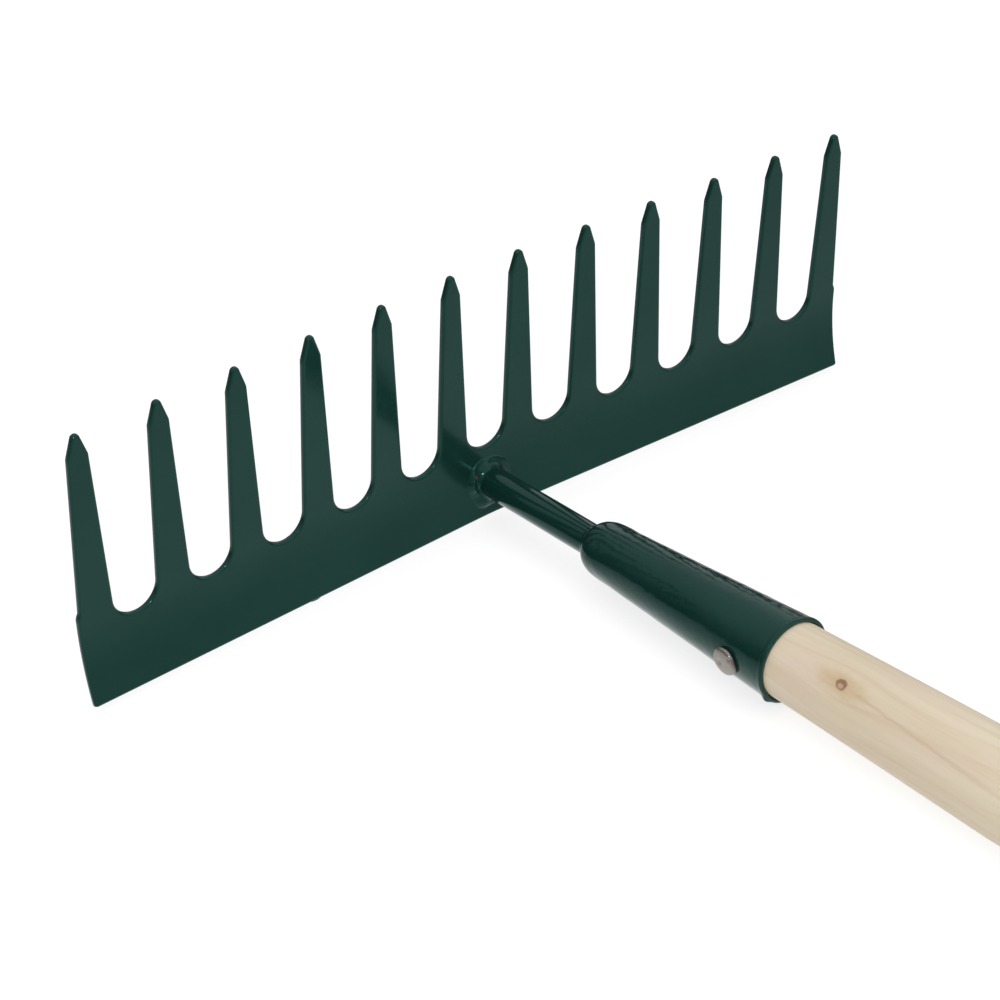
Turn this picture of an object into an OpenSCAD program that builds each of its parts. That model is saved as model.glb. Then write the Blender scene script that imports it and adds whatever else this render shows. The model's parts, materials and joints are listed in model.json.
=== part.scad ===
// Level-head garden rake: a stamped steel plate with twelve tines, welded to a round
// tang that carries a tapered socket, riveted onto a long ash handle.
// Frame: +Z up, tines up, head across X, handle towards -Y. The rake lies level on the
// straight shaft of its handle, with z = 0 as the ground and the origin in the middle
// of its outline on the ground. Lengths are millimetres.

/* [Head] */
// Number of tines
tine_count = 12; // [4:1:16]
// Distance between the centres of neighbouring tines
tine_pitch = 26.6; // [22:0.1:34]
// Thickness of the stamped plate
plate_t = 2.2; // [1.6:0.1:3]
// Height of the tine tips above the tang's axis
tip_h = 79; // [60:0.1:100]
// Height of the shoulders where the tines start to narrow to their points
shoulder_h = 72; // [54:0.1:94]
// Width of a tine at its shoulders
tine_tip_w = 6.2; // [5:0.1:9]
// Width of a tine at its root
tine_root_w = 10.7; // [9.5:0.1:14]
// Radius of the rounded end of a tine
tine_end_r = 1.1; // [0.6:0.1:2]
// Height of the tine roots above the tang's axis
root_h = 19.7; // [16:0.1:26]
// Length of plate past the outer tines' centres
end_margin = 6.1; // [5.8:0.1:9]
// Depth of the plate's lower edge under the tang's axis
edge_drop = 11; // [8:0.1:16]

/* [Plate shape] */
// Radius to which the lower part of the plate is curled towards the handle
curl_r = 90; // [60:1:140]
// Height above the tang's axis where the curl starts
curl_h = 16.3; // [8:0.1:18]
// Backward sweep of each half of the plate, in degrees
sweep = 1.95; // [0:0.01:4]
// Lean of the tines towards the handle, in degrees
lean = 5.3; // [0:0.1:10]

/* [Tang and welds] */
// Diameter of the round tang
tang_d = 10; // [8:0.1:14]
// Reach of the tang's back end past the front of the plate
tang_out = 2.2; // [1.5:0.1:4]
// Distance from the plate to the end of the tang inside the socket
tang_reach = 74; // [60:1:90]
// Outer diameter of the fillet weld between tang and plate
weld_d = 17.4; // [14:0.1:22]
// Length of the fillet weld along the tang
weld_len = 4.4; // [3:0.1:7]

/* [Socket] */
// Distance from the plate to the small end of the socket
socket_start = 53; // [40:0.5:60]
// Distance from the plate to the mouth of the socket
socket_mouth = 141; // [120:0.5:170]
// Outer diameter of the socket at its mouth
mouth_d = 26.4; // [24:0.1:30]
// Outer diameter that the socket's taper would have at its small end
small_d = 16.9; // [15:0.1:20]
// Thickness of the socket's wall
socket_wall = 1.3; // [1:0.1:2]
// Length of the rounded nose that closes the small end onto the tang
nose_len = 9; // [7:0.5:14]

/* [Rivet] */
// Distance from the plate to the rivet's axis
rivet_at = 126.5; // [110:0.5:132]
// Turn of the rivet about the handle, in degrees below level on the left
rivet_turn = 6; // [0:1:30]
// Diameter of the rivet's shank
rivet_d = 5; // [4:0.1:6]
// Diameter of the rivet's flat-domed head
rivet_head_d = 9; // [8:0.1:11]
// Height of the rivet's head
rivet_head_h = 1.7; // [1:0.1:2.5]

/* [Handle] */
// Diameter of the handle's straight shaft
handle_d = 28; // [26:0.5:32]
// Distance from the plate to the end of the handle inside the socket
handle_start = 77; // [76:0.5:90]
// Distance from the plate to where the handle reaches its full diameter
shave_end = 222; // [180:1:260]
// Distance from the plate to the handle's butt
handle_end = 1470; // [900:5:1600]
// Length of the rounded butt
butt_len = 9; // [5:0.5:14]

/* [Hidden] */
$fn = 96;
far = 400;
tang_r = tang_d / 2;
handle_r = handle_d / 2;
head_half = (tine_count - 1) / 2 * tine_pitch + end_margin;

// The gaps between the tines end in half circles as wide as the gap at the roots
gap_r = (tine_pitch - tine_root_w) / 2;

// The rounded point of a tine: its centre and the angle where its straight flanks
// leave it, which is where a line from the shoulder touches the circle
end_z = tip_h - tine_end_r;
shoulder = [tine_tip_w / 2, shoulder_h - end_z];
touch_a = atan2(shoulder[1], shoulder[0]) + acos(tine_end_r / norm(shoulder));

// Angle of the curl at the plate's lower edge, and the radius of the curl's back
curl_a = asin((curl_h + edge_drop) / curl_r);
back_r = curl_r + plate_t;

// Shift that centres the rake on the origin
lay_y = (handle_end - tang_out) / 2;

// Radius of the socket's outside and of its bore at distance s from the plate
socket_taper = (mouth_d - small_d) / 2 / (socket_mouth - socket_start);
function socket_r(s) = small_d / 2 + (s - socket_start) * socket_taper;
function bore_r(s) = socket_r(s) - socket_wall;

// The nose that closes the socket onto the tang, and the rolled rim at its mouth
nose_end = socket_start + nose_len;
nose_r = tang_r + 0.6;
rim_h = 0.35;
rim_len = 3;

// Chamfers, beads, the rivet's seat and edge, its smaller far head, and the steps in a
// quarter round of a profile
tang_chamfer = 0.6;
weld_base = 0.8;
socket_weld_len = 2.6;
socket_weld_h = 1.3;
end_round = 1;
rivet_seat = socket_r(rivet_at + rivet_head_d / 2);
rivet_edge = 0.6;
tail_d = 6.8;
tail_edge = 0.3;
tail_h = 0.9;
arc_steps = 6;

// Colours
enamel = [0.09, 0.2, 0.17];
steel = [0.62, 0.6, 0.56];
pale_wood = [0.85, 0.78, 0.66];

// Moves a piece drawn about the tang's axis to where it lies on the ground
module laid() {
    translate([0, lay_y, handle_r]) children();
}

// Turns a profile of [radius, distance from the plate] around the tang's axis
module turned() {
    rotate([90, 0, 0]) rotate_extrude() children();
}

// A quarter round of a profile, from [radius + width, low] in to [radius, low + length]
function quarter(radius, width, low, length) =
    [for (i = [0:arc_steps]) let (a = 90 * i / arc_steps)
        [radius + width * cos(a), low + length * sin(a)]];

// Outline of one tine, from below its root to its rounded point
module tine_outline() {
    polygon(concat(
        [[-tine_root_w / 2, root_h - 1], [-tine_root_w / 2, root_h], [-tine_tip_w / 2, shoulder_h]],
        [for (i = [arc_steps:-1:0]) let (a = touch_a + (180 - 2 * touch_a) * i / arc_steps)
            [tine_end_r * cos(a), end_z + tine_end_r * sin(a)]],
        [[tine_tip_w / 2, shoulder_h], [tine_root_w / 2, root_h], [tine_root_w / 2, root_h - 1]]));
}

// Outline of the whole plate as stamped, before it is curled: x along the head, y up
module plate_outline() {
    step_h = 1.5;
    outer = (tine_count - 1) / 2 * tine_pitch + tine_root_w / 2;
    corner_cut = 0.9;
    low = -edge_drop - 1;
    difference() {
        union() {
            polygon([[-head_half + corner_cut, low], [-head_half, low + 2 * corner_cut],
                [-head_half, root_h - step_h], [-outer, root_h], [outer, root_h],
                [head_half, root_h - step_h], [head_half, low + 2 * corner_cut],
                [head_half - corner_cut, low]]);
            for (i = [0:tine_count - 1])
                translate([(i - (tine_count - 1) / 2) * tine_pitch, 0]) tine_outline();
        }
        for (i = [1:tine_count - 1])
            translate([(i - tine_count / 2) * tine_pitch, root_h]) circle(gap_r);
    }
}

// Section through the sheet, x away from the handle and y up: flat above the curl
module sheet_section() {
    wedge = 2 * curl_r;
    translate([0, curl_h]) square([plate_t, tip_h]);
    translate([-curl_r, curl_h]) intersection() {
        difference() {
            circle(back_r, $fn = 360);
            circle(curl_r, $fn = 360);
        }
        polygon([[0, 0], [wedge, 0], [wedge * cos(curl_a), -wedge * sin(curl_a)]]);
    }
}

// Right half of the plate, swept towards the handle and cut off at the middle
module plate_half() {
    intersection() {
        rotate([0, 0, -sweep]) intersection() {
            translate([-far / 2, 0, 0]) rotate([90, 0, 90]) linear_extrude(far) sheet_section();
            translate([0, far / 4, 0]) rotate([90, 0, 0]) linear_extrude(far / 2) plate_outline();
        }
        translate([0, -far / 2, -far / 2]) cube(far);
    }
}

// Both halves, leaning towards the handle
module sheet() {
    rotate([lean, 0, 0]) {
        plate_half();
        mirror([1, 0, 0]) plate_half();
    }
}

module head_plate() {
    color(enamel) laid() difference() {
        sheet();
        rotate([90, 0, 0]) cylinder(r = tang_r, h = far, center = true);
    }
}

module tang_rod() {
    color(enamel) laid() turned() polygon([[0, -tang_out], [tang_r - tang_chamfer, -tang_out],
        [tang_r, tang_chamfer - tang_out], [tang_r, tang_reach - end_round],
        [tang_r - end_round, tang_reach], [0, tang_reach]]);
}

// Fillet of weld metal around the tang, cut to the front of the plate
module head_weld() {
    color(enamel) laid() difference() {
        turned() polygon(concat([[tang_r, weld_base]],
            quarter(tang_r, weld_d / 2 - tang_r, weld_base, weld_len)));
        sheet();
    }
}

// Drill for the rivet, and the rivet's own line, level from side to side but for its turn
module across() {
    translate([0, -rivet_at, 0]) rotate([0, 90 - rivet_turn, 0]) children();
}

module rivet_hole() {
    across() cylinder(r = rivet_d / 2, h = far, center = true);
}

// Tapered tube: its nose closes onto the tang and its mouth has a low rolled rim
module socket() {
    mouth_r = socket_r(socket_mouth);
    rim_start = socket_mouth - rim_len;
    color(enamel) laid() difference() {
        turned() polygon(concat(
            [[tang_r, nose_end - nose_len / 2], [tang_r, socket_start]],
            [for (i = [0:arc_steps]) let (a = 90 * i / arc_steps)
                [nose_r + (socket_r(nose_end) - nose_r) * sin(a), nose_end - nose_len * cos(a)]],
            [[socket_r(rim_start), rim_start], [mouth_r + rim_h, rim_start + rim_h],
                [mouth_r + rim_h, socket_mouth - rim_h], [mouth_r, socket_mouth],
                [bore_r(socket_mouth), socket_mouth], [bore_r(nose_end), nose_end]]));
        rivet_hole();
    }
}

// Small bead that seals the tang to the nose of the socket
module socket_weld() {
    color(enamel) laid() turned() polygon([[tang_r, socket_start], [tang_r + socket_weld_h, socket_start],
        [tang_r + socket_weld_h, socket_start - socket_weld_len / 2],
        [tang_r + socket_weld_h / 2, socket_start - socket_weld_len * 0.9],
        [tang_r, socket_start - socket_weld_len]]);
}

// Half of the rivet's profile: half the shank, then a head with a low dome
function rivet_side(head_r, edge, height) = concat(
    [[rivet_d / 2, 0], [rivet_d / 2, rivet_seat], [head_r, rivet_seat]],
    quarter(0, head_r, rivet_seat + edge, height - edge));

module rivet() {
    head = rivet_side(rivet_head_d / 2, rivet_edge, rivet_head_h);
    tail = rivet_side(tail_d / 2, tail_edge, tail_h);
    color(steel) laid() across() {
        rotate_extrude() polygon(concat([[0, 0]], tail));
        mirror([0, 0, 1]) rotate_extrude() polygon(concat([[0, 0]], head));
    }
}

// Long round handle, tapered into the socket and domed at its butt
module handle() {
    small_r = bore_r(handle_start);
    color(pale_wood) laid() difference() {
        turned() polygon(concat(
            [[0, handle_start], [small_r - end_round, handle_start],
                [bore_r(handle_start + end_round), handle_start + end_round],
                [bore_r(socket_mouth), socket_mouth], [handle_r, shave_end]],
            quarter(0, handle_r, handle_end - butt_len, butt_len)));
        rivet_hole();
    }
}

head_plate();
tang_rod();
head_weld();
socket();
socket_weld();
rivet();
handle();
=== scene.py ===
import json

import bmesh
import bpy
import numpy as np
from mathutils import Matrix, Vector


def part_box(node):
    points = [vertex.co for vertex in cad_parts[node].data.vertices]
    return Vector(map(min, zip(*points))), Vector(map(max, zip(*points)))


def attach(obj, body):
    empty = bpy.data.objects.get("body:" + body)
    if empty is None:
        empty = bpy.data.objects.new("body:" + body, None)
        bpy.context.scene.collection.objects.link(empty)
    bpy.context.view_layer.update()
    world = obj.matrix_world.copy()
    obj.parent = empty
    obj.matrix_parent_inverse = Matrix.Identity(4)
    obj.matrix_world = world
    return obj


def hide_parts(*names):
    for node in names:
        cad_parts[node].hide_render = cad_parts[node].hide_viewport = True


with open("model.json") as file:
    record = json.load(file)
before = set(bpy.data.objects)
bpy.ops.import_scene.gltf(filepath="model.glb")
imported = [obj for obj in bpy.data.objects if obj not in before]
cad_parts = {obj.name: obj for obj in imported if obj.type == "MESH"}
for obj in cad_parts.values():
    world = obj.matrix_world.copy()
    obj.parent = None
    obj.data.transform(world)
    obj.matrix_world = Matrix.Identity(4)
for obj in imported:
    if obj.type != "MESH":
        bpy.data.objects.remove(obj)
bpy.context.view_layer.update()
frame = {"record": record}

# Head plate. One piece of sheet steel stamped into twelve tapered tines with round gaps
# between them. Its lower part is curled towards the handle, both halves sweep back from
# the weld, and a dip in green enamel has rounded every cut edge.
MM = 0.001
PLATE_T = 2.2
TINES = 12
PITCH = 26.6
TIP_H = 79.0
SHOULDER_H = 72.0
TIP_HALF = 3.1
ROOT_HALF = 5.35
END_R = 1.1
ROOT_H = 19.7
END_MARGIN = 6.1
END_STEP = 1.5
EDGE_DROP = 11.0
CURL_R = 90.0
CURL_H = 16.3
SWEEP = np.radians(1.95)
LEAN = np.radians(5.3)
MIDDLE_EASE = 5.0
ARRIS = 0.82
COAT = 0.34
WAVE_H = 0.13
WAVE_LEN = 75.0
DRIP_X = -72.2
DRIP_LEN = 3.4
DRIP_H = 1.5
DRIP_DEEP = 1.0
DRIP_SUNK = 0.7

# The tang, the socket and the handle lie on one line, so the line's direction and the
# point where it meets the front of the plate place every piece.
TANG_OUT = 2.2 * MM
shaft = frame["record"]["mounts"][0]
along = np.array(shaft["axis"])
across = np.array([1.0, 0.0, 0.0])
upward = np.cross(across, -along)
plate_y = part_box("tang_rod")[1].y - TANG_OUT
plate_point = np.array(shaft["pos_m"])
plate_point = plate_point + along * (plate_y - plate_point[1]) / along[1]


def from_tang(x, s, z):
    """Turns x across the head, s along the tang from the plate and z up, in millimetres,
    into points of the frame: the meeting point plus each length along its direction."""
    x, s, z = np.broadcast_arrays(x, s, z)
    lengths = np.stack([x, s, z], axis=-1) * MM
    return plate_point + lengths @ np.stack([across, along, upward])


def grid_faces(rows, columns, wrap, start):
    """Four-sided faces of a grid whose corners are numbered row by row from start. With
    wrap, the last column joins the first."""
    row = np.arange(rows - 1)[:, None] * columns + start
    column = np.arange(columns if wrap else columns - 1)[None, :]
    beside = (column + 1) % columns
    corners = [row + column, row + beside, row + columns + beside, row + columns + column]
    return np.stack(np.broadcast_arrays(*corners), axis=-1).reshape(-1, 4)


def make_piece(name, grids, material, replaced):
    """Builds one closed piece from grids of points, each (rows, columns, 3) with its wrap
    flag. Corners that coincide are merged, which closes seams and poles, and the faces
    are turned outwards. The piece rides on the rake and stands for a CAD node."""
    points, faces, count = [], [], 0
    for grid, wrap in grids:
        rows, columns = grid.shape[:2]
        points.append(grid.reshape(-1, 3))
        faces.append(grid_faces(rows, columns, wrap, count))
        count += rows * columns
    mesh = bpy.data.meshes.new(name)
    mesh.from_pydata(np.concatenate(points).tolist(), [], np.concatenate(faces).tolist())
    shell = bmesh.new()
    shell.from_mesh(mesh)
    bmesh.ops.remove_doubles(shell, verts=shell.verts, dist=2e-6)
    bmesh.ops.dissolve_degenerate(shell, edges=shell.edges, dist=1e-6)
    bmesh.ops.recalc_face_normals(shell, faces=shell.faces)
    shell.to_mesh(mesh)
    shell.free()
    mesh.shade_smooth()
    mesh.materials.append(material)
    piece = bpy.data.objects.new(name, mesh)
    bpy.context.scene.collection.objects.link(piece)
    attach(piece, "root")
    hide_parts(replaced)
    return piece


def ripple(seed, waves, highest):
    """A smooth repeatable wobble of two angles: a sum of cosines with whole wave numbers
    up to highest in the first and any in the second, scaled to about one at most."""
    draw = np.random.default_rng(seed)
    first = draw.integers(1, highest + 1, waves)
    second = draw.uniform(-1.0, 1.0, waves) * highest
    phase = draw.uniform(0.0, 2.0 * np.pi, waves)

    def height(a, b):
        a, b = np.broadcast_arrays(a, b)
        turns = a[..., None] * first + b[..., None] * second + phase
        return np.cos(turns).sum(axis=-1) / np.sqrt(2.0 * waves)

    return height


sheet_wave = ripple(3, 9, 5)


def on_sheet(x, v, depth):
    """A point of the sheet, from x along it, v up its stamped outline and depth behind
    its front, which is out of flat by waves of WAVE_H. Below CURL_H the height runs round
    a cylinder of radius CURL_R. The ends lie back by tan(SWEEP) times x, eased at the
    middle as a hyperbola is, and the whole is turned by LEAN."""
    turn = np.arcsin(np.clip(CURL_H - v, 0.0, None) / CURL_R)
    depth = depth + WAVE_H * sheet_wave(x / WAVE_LEN, v / WAVE_LEN)
    back = (CURL_R + depth) * np.cos(turn) - CURL_R
    high = np.where(v < CURL_H, CURL_H - (CURL_R + depth) * np.sin(turn), v)
    back = back - np.tan(SWEEP) * (np.sqrt(x**2 + MIDDLE_EASE**2) - MIDDLE_EASE)
    leaned_back = back * np.cos(LEAN) - high * np.sin(LEAN)
    leaned_high = back * np.sin(LEAN) + high * np.cos(LEAN)
    return from_tang(x * np.cos(SWEEP), -leaned_back, leaned_high)


def tine_rows(inset):
    """Heights of the rows of one tine's grid, and its half width at each row towards a
    neighbour and towards the plate's end, for an outline drawn in by inset."""
    gap = PITCH / 2 - ROOT_HALF + inset
    round_up = np.linspace(0.0, np.pi / 2, 15)
    low = -EDGE_DROP + inset
    ease = (1.0 - np.cos(np.linspace(0.0, np.pi, 15))) / 2
    band = low + (ROOT_H - gap - low) * ease[:-1]
    bowl = ROOT_H - gap * np.cos(round_up)
    shoulder = SHOULDER_H - 0.15 * inset
    flank = np.linspace(ROOT_H, shoulder, 30)[1:]
    flank_half = np.linspace(ROOT_HALF, TIP_HALF, 30)[1:] - inset
    end_z = TIP_H - END_R
    reach = np.hypot(TIP_HALF, SHOULDER_H - end_z)
    touch = np.arctan2(SHOULDER_H - end_z, TIP_HALF) + np.arccos(END_R / reach)
    angle = np.linspace(touch, np.pi / 2, 7)
    tip = end_z + (END_R - inset) * np.sin(angle)
    tip_half = (END_R - inset) * np.cos(angle)
    taper = np.linspace(0.0, 1.0, 6)[1:-1]
    point = shoulder + (tip[0] - shoulder) * taper
    point_half = flank_half[-1] + (tip_half[0] - flank_half[-1]) * taper
    heights = np.concatenate([band, bowl, flank, point, tip])
    upper = np.concatenate([flank_half, point_half, tip_half])
    bowl_half = PITCH / 2 - gap * np.sin(round_up)
    inner = np.concatenate([np.full(len(band), PITCH / 2), bowl_half, upper])
    end_half = np.interp(bowl, [ROOT_H - END_STEP, ROOT_H], [END_MARGIN, ROOT_HALF]) - inset
    outer = np.concatenate([np.full(len(band), END_MARGIN - inset), end_half, upper])
    return heights, inner, outer, len(band)


def plate_grids():
    """Front and back of every tine as a grid, and the rim as a grid that follows the
    outline: a quarter round to the cut face, the cut face, and a quarter round back. A
    long drop of enamel hangs from the lower edge, as an ellipsoid."""
    heights, inner, outer, foot_row = tine_rows(ARRIS - COAT)
    spread = np.sin(np.linspace(-np.pi / 2, np.pi / 2, 15))
    grids, right_sides, left_sides = [], [], []
    for tine in range(TINES):
        centre = (tine - (TINES - 1) / 2) * PITCH
        left = outer if tine == 0 else inner
        right = outer if tine == TINES - 1 else inner
        half = np.where(spread[None, :] < 0.0, left[:, None], right[:, None])
        x = centre + spread[None, :] * half
        v = np.broadcast_to(heights[:, None], x.shape)
        grids.append((on_sheet(x, v, 0.0), False))
        grids.append((on_sheet(x, v, PLATE_T), False))
        lower = 1 if tine == TINES - 1 else foot_row
        right_sides.append(np.stack([x[lower:, -1], v[lower:, -1]], axis=-1))
        lower = 0 if tine == 0 else foot_row + 1
        left_sides.append(np.stack([x[lower:-1, 0], v[lower:-1, 0]], axis=-1)[::-1])
        if tine == 0:
            bottom = [np.stack([x[0, 1:], v[0, 1:]], axis=-1)]
        else:
            bottom.append(np.stack([x[0, 1:], v[0, 1:]], axis=-1))
    tops = [side for pair in zip(right_sides[::-1], left_sides[::-1]) for side in pair]
    outline = np.concatenate(bottom + tops)
    tangent = np.roll(outline, -1, axis=0) - np.roll(outline, 1, axis=0)
    outward = np.stack([tangent[:, 1], -tangent[:, 0]], axis=-1)
    outward /= np.linalg.norm(outward, axis=1, keepdims=True)
    turn = np.radians([0.0, 15.0, 30.0, 45.0, 60.0, 75.0, 90.0])
    out = ARRIS * np.sin(turn)
    deep = ARRIS * (1.0 - np.cos(turn))
    out = np.concatenate([out, out[::-1]])[:, None]
    deep = np.concatenate([deep, PLATE_T - deep[::-1]])[:, None]
    rim_x = outline[None, :, 0] + out * outward[None, :, 0]
    rim_v = outline[None, :, 1] + out * outward[None, :, 1]
    grids.append((on_sheet(rim_x, rim_v, deep), True))
    around = np.linspace(0.0, 2.0 * np.pi, 24, endpoint=False)[None, :]
    over = np.linspace(0.0, np.pi, 13)[:, None]
    drip_x = DRIP_X + DRIP_LEN * np.cos(over)
    drip_v = DRIP_SUNK - EDGE_DROP + DRIP_H * np.sin(over) * np.cos(around)
    drip_deep = PLATE_T / 2 + DRIP_DEEP * np.sin(over) * np.sin(around)
    grids.append((on_sheet(drip_x, drip_v, drip_deep), True))
    return grids


def enamel(name, peel, peel_mm, rough, rust_at=None):
    """Dark green gloss enamel. The coat has an uneven, orange-peel surface with waves
    peel apart, pooled paint is a little darker and a few dust nibs stand in it. Where
    rust_at is given, a pinhole there has bled a spot of rust."""
    material = bpy.data.materials.new(name)
    material.use_nodes = True
    nodes, links = material.node_tree.nodes, material.node_tree.links
    shader = nodes["Principled BSDF"]
    place = nodes.new("ShaderNodeTexCoord")

    def noise(wave_mm, detail):
        texture = nodes.new("ShaderNodeTexNoise")
        texture.inputs["Scale"].default_value = 1.0 / (wave_mm * MM)
        texture.inputs["Detail"].default_value = detail
        links.new(place.outputs["Object"], texture.inputs["Vector"])
        return texture.outputs["Fac"]

    def spread(value, low, high):
        remap = nodes.new("ShaderNodeMapRange")
        remap.inputs["From Min"].default_value = 0.3
        remap.inputs["From Max"].default_value = 0.7
        remap.inputs["To Min"].default_value = low
        remap.inputs["To Max"].default_value = high
        links.new(value, remap.inputs["Value"])
        return remap.outputs["Result"]

    tint = nodes.new("ShaderNodeMix")
    tint.data_type = "RGBA"
    tint.inputs["A"].default_value = (0.0035, 0.0192, 0.0153, 1.0)
    tint.inputs["B"].default_value = (0.0048, 0.0240, 0.0194, 1.0)
    links.new(spread(noise(34.0, 4.0), 0.0, 1.0), tint.inputs["Factor"])
    coat = tint.outputs["Result"]
    if rust_at is not None:
        away = nodes.new("ShaderNodeVectorMath")
        away.operation = "DISTANCE"
        away.inputs[1].default_value = tuple(rust_at)
        links.new(place.outputs["Object"], away.inputs[0])
        spot = nodes.new("ShaderNodeMapRange")
        spot.interpolation_type = "SMOOTHSTEP"
        spot.inputs["From Min"].default_value = 0.75 * MM
        spot.inputs["From Max"].default_value = 0.25 * MM
        links.new(away.outputs["Value"], spot.inputs["Value"])
        bled = nodes.new("ShaderNodeMix")
        bled.data_type = "RGBA"
        bled.inputs["B"].default_value = (0.14, 0.055, 0.018, 1.0)
        links.new(spot.outputs["Result"], bled.inputs["Factor"])
        links.new(coat, bled.inputs["A"])
        coat = bled.outputs["Result"]
    links.new(coat, shader.inputs["Base Color"])
    links.new(spread(noise(17.0, 3.0), rough * 0.8, rough * 1.25), shader.inputs["Roughness"])
    shader.inputs["IOR"].default_value = 1.5
    shader.inputs["Specular Tint"].default_value = (0.42, 1.0, 0.88, 1.0)

    swell = nodes.new("ShaderNodeBump")
    swell.inputs["Strength"].default_value = 1.0
    swell.inputs["Distance"].default_value = peel_mm * MM
    links.new(noise(peel, 0.6), swell.inputs["Height"])
    nibs = nodes.new("ShaderNodeTexVoronoi")
    nibs.feature = "SMOOTH_F1"
    nibs.inputs["Scale"].default_value = 1.0 / (6.0 * MM)
    links.new(place.outputs["Object"], nibs.inputs["Vector"])
    stand = nodes.new("ShaderNodeMapRange")
    stand.inputs["From Min"].default_value = 0.09
    stand.inputs["From Max"].default_value = 0.0
    links.new(nibs.outputs["Distance"], stand.inputs["Value"])
    dust = nodes.new("ShaderNodeBump")
    dust.inputs["Strength"].default_value = 1.0
    dust.inputs["Distance"].default_value = 0.03 * MM
    links.new(stand.outputs["Result"], dust.inputs["Height"])
    links.new(swell.outputs["Normal"], dust.inputs["Normal"])
    links.new(dust.outputs["Normal"], shader.inputs["Normal"])
    return material


plate_enamel = enamel("plate_enamel", 5.0, 0.03, 0.16)
make_piece("head_plate_enamelled", plate_grids(), plate_enamel, "head_plate")

# Tang. A length of 10 mm round bar. It goes through a hole in the plate, where its end
# is left standing at the back, and its other end is closed into the socket. The enamel,
# which TANG_R takes in, has run along it in low ridges.
TANG_R = 5.15
TANG_REACH = 74.0
TANG_SHOWN = 54.0
TANG_CHAMFER = 0.6
BEVEL_RUN = 0.25
BEVEL_SIDE = 0.18
RUN_H = 0.04
RUN_LEN = 60.0


def turned(s, r, around, wobble):
    """Turns a profile of distance s and radius r about the tang's line: the grid's rows
    follow the profile and its columns go round. wobble(angle, s) is added to the radius,
    times the radius where that is under 1 mm, so that poles stay closed."""
    angle = np.linspace(0.0, 2.0 * np.pi, around, endpoint=False)[None, :]
    s, r = np.asarray(s)[:, None], np.asarray(r)[:, None]
    r = r + wobble(angle, s) * np.clip(r, 0.0, 1.0)
    return from_tang(r * np.cos(angle), s, r * np.sin(angle))


runs = ripple(11, 12, 11)
tang_back = -TANG_OUT / MM
tang_s = np.concatenate([[tang_back] * 2, [tang_back + BEVEL_RUN, tang_back + TANG_CHAMFER],
                         np.linspace(0.0, TANG_SHOWN, 90), [TANG_REACH] * 2])
tang_r = np.full(len(tang_s), TANG_R)
tang_r[:3] = [0.0, TANG_R - TANG_CHAMFER, TANG_R - BEVEL_SIDE]
tang_r[-1] = 0.0
tang_grid = turned(tang_s, tang_r, 120, lambda a, s: RUN_H * runs(a, s / RUN_LEN))
tang_enamel = enamel("tang_enamel", 2.4, 0.02, 0.13)
make_piece("tang_enamelled", [(tang_grid, True)], tang_enamel, "tang_rod")

# Weld at the plate. One flat, rather wide bead of weld metal laid round the tang and
# drowned in enamel: a low step at its toe, a lumpy ring, and a fillet up to the bar. A
# pinhole in it has bled rust, and paint has pooled under its lower left.
BEAD_R = 8.7
BEAD_UNDER = 0.2
STEP_H = 0.35
RISE_H = 0.7
FILLET_H = 1.7
POOL_ANGLE = np.radians(238.0)
POOL_WIDE = 1.2
POOL_H = 0.9
SWELL_ANGLE = np.radians(170.0)
SWELL_H = 0.9
FOLD_H = 0.25
BEAD_SINK = 0.05
BEAD_DEEP = 0.9


def plate_front(x, z):
    """Distance along the tang of the plate's front face at x and z: the sheet's curl and
    sweep, leaned over. The height on the sheet is found by putting it in three times."""
    v = z
    for _ in range(3):
        turn = np.arcsin(np.clip(CURL_H - v, 0.0, None) / CURL_R)
        back = CURL_R * np.cos(turn) - CURL_R
        back = back - np.tan(SWEEP) * (np.sqrt(x**2 + MIDDLE_EASE**2) - MIDDLE_EASE)
        v = (z - back * np.sin(LEAN)) / np.cos(LEAN)
    return v * np.sin(LEAN) - back * np.cos(LEAN)


bead_lump = ripple(17, 16, 7)


def bead_grid(full, around=180, steps=44):
    """The bead as a grid round the tang. Across it, u runs from its toe to the bar: the
    height steps up at the toe as 1 - exp(-u / 0.08), stays low, and climbs at the bar as
    u to the sixth. Lumps vary the height and the toe's radius, a folded swelling stands
    at the left, and the pool raises and widens the bead at the lower left. Times full,
    which is 0 for the bead's underside."""
    angle = np.linspace(0.0, 2.0 * np.pi, around, endpoint=False)[None, :]
    u = (np.linspace(0.0, 1.0, steps) ** 1.5)[:, None]
    pool = np.exp(-(((angle - POOL_ANGLE) / 0.42) ** 2))
    left = np.exp(-(((angle - SWELL_ANGLE) / 0.55) ** 2))
    lump = bead_lump(angle, 1.2 * u)
    toe = BEAD_R * (1.0 + 0.035 * bead_lump(angle, 0.0)) + POOL_WIDE * pool
    radius = toe + (TANG_R - BEAD_UNDER - toe) * u
    middle = np.sin(np.pi * u)
    height = STEP_H * (1.0 - np.exp(-u / 0.08)) + RISE_H * u + FILLET_H * u**6
    height = height * (1.0 + 0.25 * lump) + SWELL_H * left * middle**1.5 * (1.0 + 0.9 * lump)
    height = height + FOLD_H * left * np.abs(np.sin(9.0 * angle + 2.0 * u)) * middle
    height = height + POOL_H * pool * middle**1.5
    x, z = radius * np.cos(angle), radius * np.sin(angle)
    return from_tang(x, plate_front(x, z) + full * height - BEAD_SINK, z)


pinhole = from_tang(-5.7, 1.9, 3.3)
weld_enamel = enamel("weld_enamel", 2.0, 0.04, 0.12, pinhole)
bead = bead_grid(1.0)
sunk = bead_grid(0.0)[::-1] - along * BEAD_DEEP * MM
make_piece("head_weld_bead", [(np.concatenate([bead, sunk, bead[:1]]), True)],
           weld_enamel, "head_weld")

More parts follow.
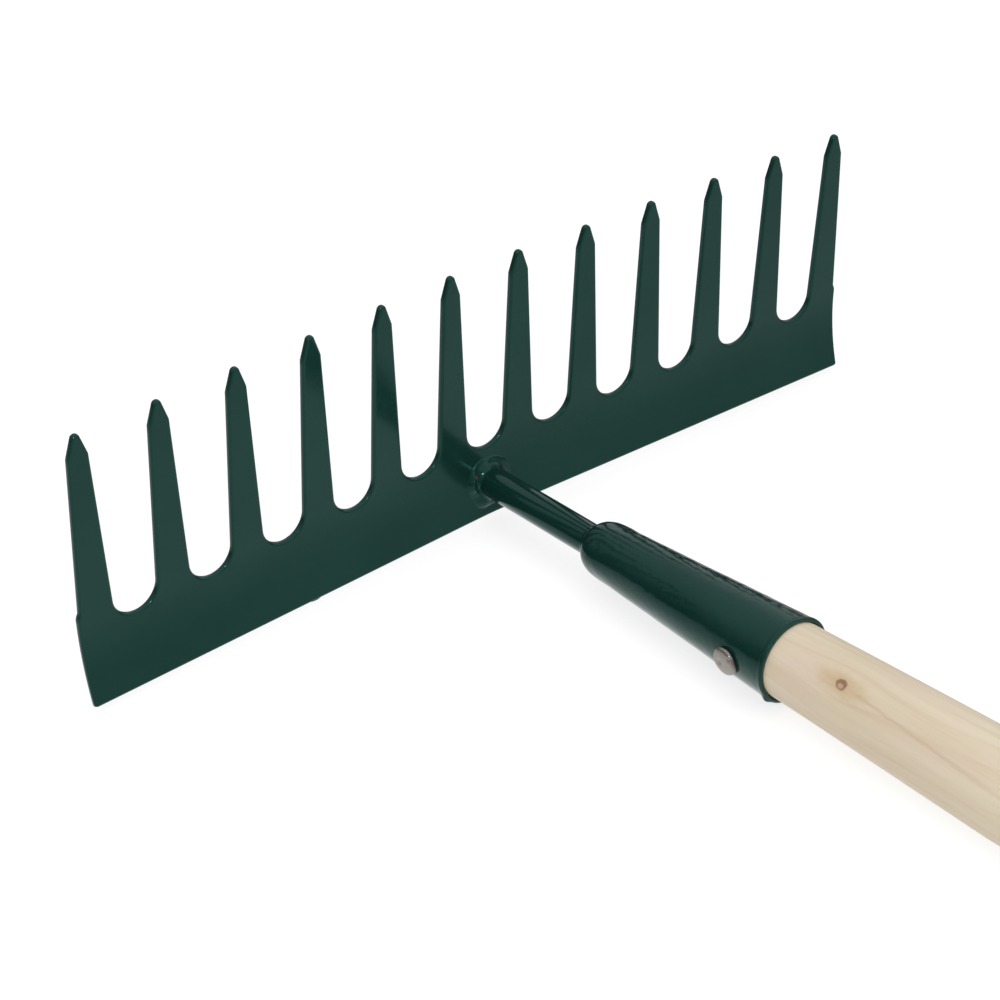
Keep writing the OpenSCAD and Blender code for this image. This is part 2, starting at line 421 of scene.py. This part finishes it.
# Socket. A steel tube drawn to a taper. Its small end is spun in to a rounded nose on the
# tang, its mouth has a low rolled rim that the enamel has thickened, and the handle is
# driven into it.
SOCKET_START = 55.0
SOCKET_MOUTH = 141.0
MOUTH_R = 13.2
SMALL_R = 8.55
WALL = 1.3
NOSE = 7.0
RIM_H = 0.08
RIM = 1.6
NOSE_R = TANG_R + 0.6
LIP_ROUND = 0.4
LIP_RUN = 0.3
DRAIN_ANGLE = np.radians(66.0)
MEAN_COAT = 0.12
SLOW_SAG = 0.05
FINE_SAG = 0.016
LUMP_ANGLE = np.radians(221.0)
LUMP_S = 140.2
LUMP_H = 0.7


def socket_radius(s):
    """Radius of the socket's straight taper at distance s from the plate."""
    return SMALL_R + (s - SOCKET_START) * (MOUTH_R - SMALL_R) / (SOCKET_MOUTH - SOCKET_START)


nose_turn = np.linspace(0.0, np.pi / 2, 14)
nose_end = SOCKET_START + NOSE
nose_s = nose_end - NOSE * np.cos(nose_turn)
nose_r = NOSE_R + (socket_radius(nose_end) - NOSE_R) * np.sin(nose_turn)
wall_s = np.linspace(nose_end, SOCKET_MOUTH - RIM, 170)[1:]
rim_turn = np.linspace(0.0, np.pi, 13)
rim_s = SOCKET_MOUTH - RIM + 0.2 + (RIM - 0.5) * (1.0 - np.cos(rim_turn)) / 2
rim_r = socket_radius(rim_s) + RIM_H * np.sin(rim_turn) ** 0.6
lip_turn = np.linspace(0.0, np.pi / 2, 6)[1:]
lip_r = MOUTH_R - LIP_ROUND + LIP_ROUND * np.cos(lip_turn)
lip_s = SOCKET_MOUTH - LIP_RUN + LIP_RUN * np.sin(lip_turn)
inner_s = np.array([SOCKET_MOUTH, SOCKET_MOUTH - 0.4, nose_end, nose_end - NOSE / 2, SOCKET_START])
inner_r = np.array([MOUTH_R - WALL + 0.15, MOUTH_R - WALL, socket_radius(nose_end) - WALL,
                    TANG_R, TANG_R])
socket_s = np.concatenate([nose_s, wall_s, rim_s, lip_s, inner_s, nose_s[:1]])
socket_r = np.concatenate([nose_r, socket_radius(wall_s), rim_r, lip_r, inner_r, nose_r[:1]])
slow_sags = ripple(21, 14, 7)
fine_sags = ripple(22, 60, 26)


def socket_coat(angle, s):
    """Thickness of the coat over the socket's steel: slow sags, fine sags that are
    deepest along the top right where the coat drained, wrinkles at the nose, and one lump
    by the mouth at the lower left."""
    drained = 1.0 + 2.2 * np.exp(-(((angle - DRAIN_ANGLE) / 0.30) ** 2))
    nose = np.exp(-(((s - nose_end - 1.0) / 4.0) ** 2))
    coat = MEAN_COAT + SLOW_SAG * slow_sags(angle, s / 26.0)
    coat = coat + FINE_SAG * drained * fine_sags(angle, s / 13.0)
    coat = coat + nose * (0.10 + 0.12 * np.cos(6.0 * angle + 1.0))
    lump = np.exp(-(((angle - LUMP_ANGLE) / 0.13) ** 2) - ((s - LUMP_S) / 1.3) ** 2)
    coat = coat + LUMP_H * lump
    return np.where(s < SOCKET_MOUTH - 0.35, coat, 0.0)


socket_grid = turned(socket_s, socket_r, 260, socket_coat)
socket_enamel = enamel("socket_enamel", 2.6, 0.05, 0.15)
make_piece("socket_enamelled", [(socket_grid, True)], socket_enamel, "socket")

# Weld at the socket. A thin bead that seals the nose of the socket to the tang. Its toe on
# the tang is lumpy, and it is enamelled with the rest.
SEAL_LEN = 2.2
SEAL_H = 0.7
SEAL_UNDER = 0.1
SEAL_WAVE = 0.14
seal_u = np.linspace(0.0, np.pi / 2, 12)
seal_foot = TANG_R - SEAL_UNDER
seal_s = np.concatenate([SOCKET_START - SEAL_LEN * np.cos(seal_u),
                         [SOCKET_START, SOCKET_START - SEAL_LEN]])
seal_r = np.concatenate([seal_foot + SEAL_H * np.sin(seal_u), [seal_foot] * 2])
seal_wave = ripple(5, 6, 6)


def seal_lumps(angle, s):
    """Lumps of the seal, which die out where it meets the socket."""
    return SEAL_WAVE * seal_wave(angle, s / 9.0) * (SOCKET_START - s) / SEAL_LEN


seal_grid = turned(seal_s, seal_r, 120, seal_lumps)
make_piece("socket_weld_bead", [(seal_grid, True)], weld_enamel, "socket_weld")

# Handle. A long round shaft of pale hardwood, shaved down where it enters the socket and
# rounded at its butt, sanded but not varnished. Its grain runs along it and it has one
# small knot.
HANDLE_R = 14.0
HANDLE_START = 77.0
SHAVE_END = 222.0
HANDLE_END = 1470.0
BUTT = 9.0
SANDED = 0.07
BARE_FROM = SOCKET_MOUTH + 4.0
KNOT_S = 167.2
KNOT_ANGLE = np.radians(130.5)
KNOT_LONG = 16.0
KNOT_WIDE = 8.0
butt_turn = np.linspace(0.0, np.pi / 2, 16)
handle_s = np.concatenate([[HANDLE_START] * 2, np.linspace(HANDLE_START, SOCKET_MOUTH, 12)[1:],
                           np.linspace(SOCKET_MOUTH, SHAVE_END, 50)[1:],
                           np.linspace(SHAVE_END, HANDLE_END - BUTT, 120)[1:],
                           HANDLE_END - BUTT + BUTT * np.sin(butt_turn)[1:]])
bore_end = socket_radius(HANDLE_START) - WALL
handle_r = np.interp(handle_s, [HANDLE_START, SOCKET_MOUTH, SHAVE_END],
                     [bore_end, MOUTH_R - WALL, HANDLE_R])
handle_r[-len(butt_turn) + 1:] = HANDLE_R * np.cos(butt_turn)[1:]
handle_r[0] = 0.0
shaving = ripple(8, 8, 4)


def sanding(angle, s):
    """How far sanding has left the surface from round: a little low, and wavy where the
    wood is bare."""
    return -SANDED + SANDED * shaving(angle, s / 60.0) * (s > BARE_FROM)


handle_grid = turned(handle_s, handle_r, 144, sanding)


def lay_grain(piece, angle, s):
    """Stores where each corner lies in the timber, in millimetres. grain is the corner's
    place with its angle drawn towards the knot's, times 1 - 0.6 exp(-r * r), r being the
    distance from the knot over KNOT_LONG and KNOT_WIDE, so that the growth rings part
    round the knot. skin is the offset from the knot, across and along, and the side it is on."""
    away = (angle - KNOT_ANGLE + np.pi) % (2.0 * np.pi) - np.pi
    across_mm, along_mm = HANDLE_R * np.sin(away), s - KNOT_S
    near = np.exp(-((along_mm / KNOT_LONG) ** 2 + (across_mm / KNOT_WIDE) ** 2)) * (np.cos(away) > 0.0)
    drawn = KNOT_ANGLE + away * (1.0 - 0.6 * near)
    radius = np.hypot(*np.broadcast_arrays(across_mm, HANDLE_R * np.cos(away)))
    grain = np.stack(np.broadcast_arrays(radius * np.cos(drawn), s, radius * np.sin(drawn)), axis=-1)
    skin = np.stack(np.broadcast_arrays(across_mm, along_mm, np.cos(away)), axis=-1)
    for name, values in (("grain", grain), ("skin", skin)):
        store = piece.data.attributes.new(name, "FLOAT_VECTOR", "POINT")
        store.data.foreach_set("vector", values.astype(np.float32).reshape(-1))


PITH_SIDE = 46.0
PITH_DEEP = -21.0
RING_WIDTH = 4.3
CREAM = (0.625, 0.549, 0.423, 1.0)
STRAW = (0.562, 0.474, 0.349, 1.0)
LATE_WOOD = (0.49, 0.365, 0.225, 1.0)
PORES = (0.44, 0.33, 0.20, 1.0)
PINKISH = (0.60, 0.48, 0.39, 1.0)
HALO = (0.44, 0.30, 0.15, 1.0)
DARK_LINE = (0.36, 0.25, 0.14, 1.0)
KNOT_RIM = (0.17, 0.085, 0.045, 1.0)
KNOT_HEART = (0.46, 0.33, 0.24, 1.0)


def pale_wood():
    """Pale hardwood cut from a board: growth rings about a pith well outside the shaft,
    wandering along it, long streaks and fine pores, pinkish patches, a knot with a brown
    halo, a dark rim and a paler heart set to one side, and one dark line that leaves it."""
    material = bpy.data.materials.new("handle_wood")
    material.use_nodes = True
    nodes, links = material.node_tree.nodes, material.node_tree.links
    shader = nodes["Principled BSDF"]

    def attribute(name):
        node = nodes.new("ShaderNodeAttribute")
        node.attribute_name = name
        return node.outputs["Vector"]

    grain, skin = attribute("grain"), attribute("skin")

    def sum_up(kind, *values):
        node = nodes.new("ShaderNodeMath")
        node.operation = kind
        for value, socket in zip(values, node.inputs):
            if isinstance(value, float):
                socket.default_value = value
            else:
                links.new(value, socket)
        return node.outputs[0]

    def streaks(vector, across_mm, along_mm, detail, lowest, highest):
        stretch = nodes.new("ShaderNodeMapping")
        stretch.inputs["Scale"].default_value = (1.0 / across_mm, 1.0 / along_mm, 1.0 / across_mm)
        texture = nodes.new("ShaderNodeTexNoise")
        texture.inputs["Scale"].default_value = 1.0
        texture.inputs["Detail"].default_value = detail
        remap = nodes.new("ShaderNodeMapRange")
        remap.inputs["From Min"].default_value = lowest
        remap.inputs["From Max"].default_value = highest
        links.new(vector, stretch.inputs["Vector"])
        links.new(stretch.outputs["Vector"], texture.inputs["Vector"])
        links.new(texture.outputs["Fac"], remap.inputs["Value"])
        return remap.outputs["Result"]

    def blend(factor, strength, below, above):
        mix = nodes.new("ShaderNodeMix")
        mix.data_type = "RGBA"
        links.new(sum_up("MULTIPLY", factor, strength), mix.inputs["Factor"])
        for value, socket in ((below, mix.inputs["A"]), (above, mix.inputs["B"])):
            if isinstance(value, tuple):
                socket.default_value = value
            else:
                links.new(value, socket)
        return mix.outputs["Result"]

    def inside(value, edge, core):
        step = nodes.new("ShaderNodeMapRange")
        step.interpolation_type = "SMOOTHSTEP"
        step.inputs["From Min"].default_value = edge
        step.inputs["From Max"].default_value = core
        links.new(value, step.inputs["Value"])
        return step.outputs["Result"]

    def distance(first, second):
        squares = sum_up("MULTIPLY", first, first), sum_up("MULTIPLY", second, second)
        return sum_up("SQRT", sum_up("ADD", *squares))

    parts = nodes.new("ShaderNodeSeparateXYZ")
    links.new(grain, parts.inputs["Vector"])
    side = sum_up("ADD", parts.outputs["X"], PITH_SIDE)
    deep = sum_up("ADD", parts.outputs["Z"], PITH_DEEP)
    reach = distance(side, deep)
    wander = sum_up("MULTIPLY", streaks(grain, 38.0, 110.0, 1.5, 0.0, 1.0), 19.0)
    ring = sum_up("FRACT", sum_up("DIVIDE", sum_up("ADD", reach, wander), RING_WIDTH))
    late_wood = sum_up("POWER", ring, 4.0)

    wood = blend(streaks(grain, 8.0, 90.0, 3.0, 0.35, 0.65), 1.0, STRAW, CREAM)
    wood = blend(late_wood, 0.24, wood, LATE_WOOD)
    wood = blend(streaks(grain, 1.3, 55.0, 4.0, 0.5, 0.8), 0.25, wood, PORES)
    wood = blend(streaks(skin, 15.0, 30.0, 2.5, 0.45, 0.68), 0.5, wood, PINKISH)

    offset = nodes.new("ShaderNodeSeparateXYZ")
    links.new(skin, offset.inputs["Vector"])
    ragged = sum_up("MULTIPLY", sum_up("SUBTRACT", streaks(skin, 2.2, 3.5, 3.0, 0.0, 1.0), 0.5), 3.2)
    on_side = inside(offset.outputs["Z"], 0.0, 0.3)

    def knot_reach(across_scale, along_scale, roughened, aside=0.0):
        wide = sum_up("DIVIDE", sum_up("SUBTRACT", offset.outputs["X"], aside), across_scale)
        long = sum_up("DIVIDE", offset.outputs["Y"], along_scale)
        return sum_up("ADD", distance(wide, long), sum_up("MULTIPLY", ragged, roughened))

    halo = sum_up("MULTIPLY", inside(knot_reach(5.0, 12.0, 0.22), 1.2, 0.1), on_side)
    rim = sum_up("MULTIPLY", inside(knot_reach(1.7, 2.1, 0.30), 1.15, 0.7), on_side)
    heart = sum_up("MULTIPLY", inside(knot_reach(1.0, 1.3, 0.30, 0.45), 1.05, 0.45), on_side)
    drift = sum_up("MULTIPLY", offset.outputs["Y"], 0.075)
    wavy = sum_up("MULTIPLY", ragged, 0.3)
    line = sum_up("ABSOLUTE", sum_up("SUBTRACT", sum_up("SUBTRACT", offset.outputs["X"], drift), wavy))
    tail = sum_up("MULTIPLY", inside(offset.outputs["Y"], 2.0, 8.0),
                  inside(offset.outputs["Y"], 105.0, 25.0))
    line = sum_up("MULTIPLY", sum_up("MULTIPLY", inside(line, 0.9, 0.1), tail), on_side)
    wood = blend(halo, 0.66, wood, HALO)
    wood = blend(line, 0.26, wood, DARK_LINE)
    wood = blend(rim, 0.8, wood, KNOT_RIM)
    wood = blend(heart, 0.8, wood, KNOT_HEART)
    links.new(wood, shader.inputs["Base Color"])
    shader.inputs["Roughness"].default_value = 0.62
    shader.inputs["Specular IOR Level"].default_value = 0.35
    fibre = nodes.new("ShaderNodeBump")
    fibre.inputs["Strength"].default_value = 1.0
    fibre.inputs["Distance"].default_value = 0.05 * MM
    links.new(streaks(grain, 0.5, 14.0, 3.0, 0.3, 0.7), fibre.inputs["Height"])
    links.new(fibre.outputs["Normal"], shader.inputs["Normal"])
    return material


handle = make_piece("handle_shaft", [(handle_grid, True)], pale_wood(), "handle")
corners = np.empty(len(handle.data.vertices) * 3)
handle.data.vertices.foreach_get("co", corners)
corners = (corners.reshape(-1, 3) - plate_point) / MM
lay_grain(handle, np.arctan2(corners @ upward, corners @ across), corners @ along)

# Rivet. A soft steel rivet driven through socket and handle and hammered over. Its heads
# are flat and a little lobed, and stand off the round of the socket at their edges.
RIVET_S = 126.5
RIVET_TURN = np.radians(6.0)
RIVET_R = 2.5
HEAD_R = 4.5
HEAD_H = 1.7
HEAD_EDGE = 0.6
TAIL_R = 3.4
TAIL_H = 0.9
TAIL_EDGE = 0.3
DENT_DEEP = 0.40
NICK_DEEP = 0.3
seat = socket_radius(RIVET_S + HEAD_R)


def rivet_grid(side, head_r, edge, height, lobes):
    """Half the rivet as a grid round its own line: shank, flat underside, a short upright
    edge and a low dome. lobes scales the head's radius with angle, as hammering does,
    which has also left a round dent in its face and a nick near its edge."""
    dome = np.linspace(0.0, np.pi / 2, 14)
    r = np.concatenate([[RIVET_R, RIVET_R, head_r * 0.96, head_r], head_r * np.cos(dome) ** 0.75])
    dome_h = seat + edge + (height - edge) * np.sin(dome) ** 0.8
    h = np.concatenate([[0.0, seat, seat, seat + 0.15], dome_h])
    angle = np.linspace(0.0, 2.0 * np.pi, 72, endpoint=False)[None, :]
    r = r[:, None] * np.where(r[:, None] > RIVET_R, lobes(angle), 1.0)
    dent = np.exp(-(((r * np.cos(angle) + 1.1) / 0.75) ** 2 + ((r * np.sin(angle) - 0.3) / 0.95) ** 2))
    nick = np.exp(-(((r * np.cos(angle) - 2.6) / 0.5) ** 2 + ((r * np.sin(angle) + 2.4) / 0.7) ** 2))
    h = h[:, None] - (DENT_DEEP * dent + NICK_DEEP * nick) * (h[:, None] > seat + edge)
    along_rivet = across * np.cos(RIVET_TURN) + upward * np.sin(RIVET_TURN)
    beside = np.cross(along_rivet, along)
    centre = from_tang(0.0, RIVET_S, 0.0)
    out = side * h[..., None] * along_rivet
    lengthwise = (r * np.cos(angle))[..., None] * along
    return centre + MM * (out + lengthwise + (r * np.sin(angle))[..., None] * beside)


def rivet_steel():
    """Dull plated steel: grey with faint blotches, uneven roughness and small dents."""
    material = bpy.data.materials.new("rivet_steel")
    material.use_nodes = True
    nodes, links = material.node_tree.nodes, material.node_tree.links
    shader = nodes["Principled BSDF"]
    shader.inputs["Metallic"].default_value = 1.0
    place = nodes.new("ShaderNodeTexCoord")
    blotch = nodes.new("ShaderNodeTexNoise")
    blotch.inputs["Scale"].default_value = 1.0 / (2.2 * MM)
    blotch.inputs["Detail"].default_value = 4.0
    links.new(place.outputs["Object"], blotch.inputs["Vector"])
    tint = nodes.new("ShaderNodeMix")
    tint.data_type = "RGBA"
    tint.inputs["A"].default_value = (0.31, 0.275, 0.25, 1.0)
    tint.inputs["B"].default_value = (0.47, 0.435, 0.405, 1.0)
    links.new(blotch.outputs["Fac"], tint.inputs["Factor"])
    links.new(tint.outputs["Result"], shader.inputs["Base Color"])
    rough = nodes.new("ShaderNodeMapRange")
    rough.inputs["To Min"].default_value = 0.28
    rough.inputs["To Max"].default_value = 0.55
    links.new(blotch.outputs["Fac"], rough.inputs["Value"])
    links.new(rough.outputs["Result"], shader.inputs["Roughness"])
    dents = nodes.new("ShaderNodeBump")
    dents.inputs["Strength"].default_value = 1.0
    dents.inputs["Distance"].default_value = 0.12 * MM
    links.new(blotch.outputs["Fac"], dents.inputs["Height"])
    links.new(dents.outputs["Normal"], shader.inputs["Normal"])
    return material


near_head = rivet_grid(-1.0, HEAD_R, HEAD_EDGE, HEAD_H,
                       lambda a: 1.0 + 0.02 * np.sin(3.0 * a + 0.5) + 0.015 * np.sin(5.0 * a))
far_head = rivet_grid(1.0, TAIL_R, TAIL_EDGE, TAIL_H, lambda a: 1.0 + 0.03 * np.sin(4.0 * a + 1.1))
make_piece("rivet_driven", [(near_head, True), (far_head, True)], rivet_steel(), "rivet")

# Floor. A seamless pale sheet. Most of its light is its own, so shadows on it are faint. It
# is left out of the gloss on the enamel, which shows the studio's light and dark instead.
FLOOR = 40.0
FLOOR_GREY = 0.3
FLOOR_GLOW = 0.75
floor_mesh = bpy.data.meshes.new("floor")
floor_corners = [(-FLOOR, -FLOOR, 0), (FLOOR, -FLOOR, 0), (FLOOR, FLOOR, 0), (-FLOOR, FLOOR, 0)]
floor_mesh.from_pydata(floor_corners, [], [(0, 1, 2, 3)])
floor = bpy.data.objects.new("floor", floor_mesh)
bpy.context.scene.collection.objects.link(floor)
floor_paper = bpy.data.materials.new("floor_paper")
floor_paper.use_nodes = True
paper = floor_paper.node_tree.nodes["Principled BSDF"].inputs
paper["Base Color"].default_value = (FLOOR_GREY, FLOOR_GREY, FLOOR_GREY, 1.0)
paper["Roughness"].default_value = 0.9
paper["Specular IOR Level"].default_value = 0.0
paper["Emission Color"].default_value = (1.0, 1.0, 1.0, 1.0)
paper["Emission Strength"].default_value = FLOOR_GLOW
floor_mesh.materials.append(floor_paper)
floor.visible_glossy = False

# Studio. Large soft lights stand on the handle's side, overhead and low on the left, and a
# small lamp makes the fine highlights. The room is dark at eye level, grey above, paler on
# the right and on the wall that the tines face, and its white table fades with distance.
CEILING = 0.82
RIGHT_WALL = 0.55
NEAR_TABLE = 0.72
FAR_TABLE = 0.42
FACED_WALL = 0.16
head_centre = Vector(from_tang(0.0, 60.0, 10.0))


def area_light(name, offset, size, power, in_gloss):
    """A square light at an offset from the head, aimed at it."""
    data = bpy.data.lights.new(name, "AREA")
    data.size = size
    data.energy = power
    lamp = bpy.data.objects.new(name, data)
    lamp.location = head_centre + Vector(offset)
    lamp.rotation_mode = "QUATERNION"
    lamp.rotation_quaternion = (-Vector(offset)).to_track_quat("-Z", "Y")
    lamp.visible_glossy = in_gloss
    bpy.context.scene.collection.objects.link(lamp)


area_light("soft_front", (-0.5, -2.3, 1.3), 2.4, 36.0, False)
area_light("soft_overhead", (0.3, 0.2, 2.4), 3.0, 21.0, False)
area_light("soft_left", (-1.9, -0.8, 0.5), 1.6, 9.5, False)
area_light("small_lamp", (-0.40, -0.44, 0.42), 0.03, 0.7, True)

world = bpy.data.worlds.new("studio")
bpy.context.scene.world = world
world.use_nodes = True
sky = world.node_tree.nodes
wires = world.node_tree.links
look = sky.new("ShaderNodeTexCoord")
split = sky.new("ShaderNodeSeparateXYZ")
wires.new(look.outputs["Generated"], split.inputs["Vector"])


def ramp(value, start, end, low, high):
    """A smooth step of a direction's part from low to high."""
    step = sky.new("ShaderNodeMapRange")
    step.interpolation_type = "SMOOTHSTEP"
    for key, number in zip(("From Min", "From Max", "To Min", "To Max"), (start, end, low, high)):
        step.inputs[key].default_value = number
    wires.new(value, step.inputs["Value"])
    return step.outputs["Result"]


def combine(kind, first, second):
    """The sum, the product or the greater of two values of the sky."""
    node = sky.new("ShaderNodeMath")
    node.operation = kind
    for value, socket in ((first, node.inputs[0]), (second, node.inputs[1])):
        if isinstance(value, float):
            socket.default_value = value
        else:
            wires.new(value, socket)
    return node.outputs[0]


def straight(value, start, end, low, high):
    """A straight ramp of a direction's part from low to high, level outside."""
    step = ramp(value, start, end, low, high)
    step.node.interpolation_type = "LINEAR"
    return step


ceiling = straight(split.outputs["Z"], 0.0, 1.0, 0.0, CEILING)
to_right = combine("MULTIPLY", ramp(split.outputs["X"], 0.0, 0.55, 0.0, RIGHT_WALL),
                   ramp(split.outputs["Z"], 0.01, 0.12, 0.0, 1.0))
to_right = combine("MULTIPLY", to_right, ramp(split.outputs["Z"], 0.25, 0.75, 1.0, 0.1))
near_table = straight(split.outputs["Z"], -0.15, -0.75, 0.0, NEAR_TABLE)
far_table = ramp(split.outputs["Z"], -0.02, -0.16, 0.0, FAR_TABLE)
table_fall = ramp(split.outputs["Y"], -0.65, 0.6, 0.58, 0.92)
table = combine("MULTIPLY", combine("ADD", near_table, far_table), table_fall)
faced = combine("MULTIPLY", ramp(split.outputs["Y"], -0.70, -0.84, 0.0, FACED_WALL),
                ramp(split.outputs["Z"], -0.42, -0.2, 0.0, 1.0))
room = combine("ADD", combine("ADD", ceiling, to_right), combine("ADD", table, faced))
path = sky.new("ShaderNodeLightPath")
seen = combine("MAXIMUM", room, path.outputs["Is Camera Ray"])
wires.new(seen, sky["Background"].inputs["Strength"])
sky["Background"].inputs["Color"].default_value = (1.0, 1.0, 1.0, 1.0)
bpy.context.scene.view_settings.view_transform = "Standard"

# Camera. A long lens looks down on the front of the head from above and to the left of the
# handle, rolled a little.
LENS = 84.326
ROLL = np.radians(-3.6997)
camera_data = bpy.data.cameras.new("camera")
camera_data.sensor_width = 36.0
camera_data.lens = LENS
camera_data.clip_start = 0.01
camera = bpy.data.objects.new("camera", camera_data)
bpy.context.scene.collection.objects.link(camera)
eye = Vector((-0.387955, 0.205229, 0.399823))
aim = Vector((0.0, 0.727346, 0.00841))
facing = (aim - eye).to_track_quat("-Z", "Y").to_matrix().to_4x4()
camera.matrix_world = Matrix.Translation(eye) @ facing @ Matrix.Rotation(ROLL, 4, "Z")
bpy.context.scene.camera = camera
